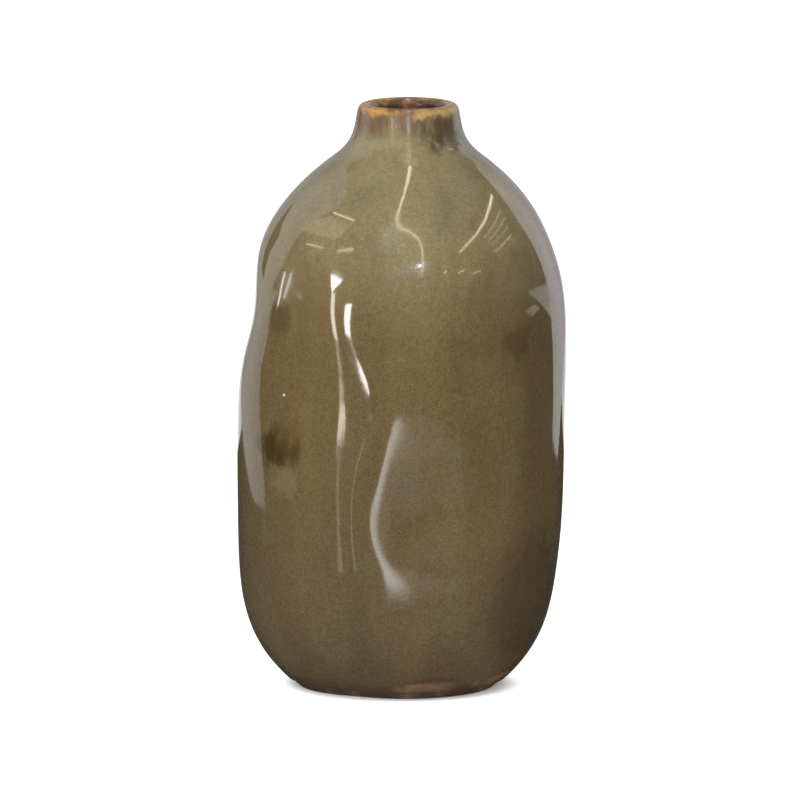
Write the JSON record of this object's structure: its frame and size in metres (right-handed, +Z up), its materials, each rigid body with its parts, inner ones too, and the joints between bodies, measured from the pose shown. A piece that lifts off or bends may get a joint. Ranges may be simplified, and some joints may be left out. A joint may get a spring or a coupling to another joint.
{
  "type": "pillow vase",
  "caption": "Hand-pressed pillow-shaped stoneware vase with an olive glaze, an amber neck, a round mouth for stems and a bare foot ring.",
  "frame": {"origin": "on the table, under the middle of the vase's overall box", "axes": "+Z up through the mouth, +X to the right of the pictured front, -Y out of the pictured front"},
  "size_m": [0.1394, 0.1123, 0.25],
  "materials": {
    "bare_clay": "unglazed stoneware, matt",
    "slip": "fired luting slip, matt",
    "liner": "glossy dark brown liner glaze",
    "olive_glaze": "glossy speckled olive-brown glaze",
    "amber_glaze": "glossy amber glaze with dark iron runs"
  },
  "bodies": {
    "root": {"foot_ring": "bare_clay", "foot_slip": "slip", "body_wall": "bare_clay", "liner_glaze": "liner", "body_glaze": "olive_glaze", "neck_slip": "slip", "neck_collar": "bare_clay", "neck_glaze": "amber_glaze"}
  },
  "joints": []
}
